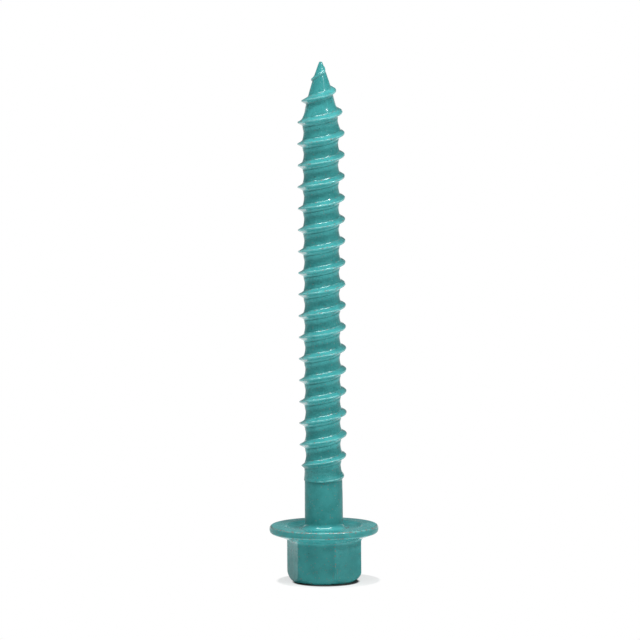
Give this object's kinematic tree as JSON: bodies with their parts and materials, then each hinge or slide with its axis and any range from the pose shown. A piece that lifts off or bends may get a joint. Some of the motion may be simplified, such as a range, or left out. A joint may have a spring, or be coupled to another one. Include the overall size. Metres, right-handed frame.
{
  "type": "hex washer head wood screw",
  "caption": "Painted hex head wood screw: flange formed under the head, plain neck, coarse right-hand thread, gimlet point.",
  "frame": {"origin": "centre of the end face of the head, on the screw's axis", "axes": "+Z along the axis from the head's end to the tip; a flat of the hexagon faces -Y"},
  "size_m": [0.0128, 0.0128, 0.0614],
  "materials": {
    "teal_paint": "semi-gloss teal corrosion coat over the whole screw"
  },
  "bodies": {
    "root": {"screw": "teal_paint"}
  },
  "joints": []
}
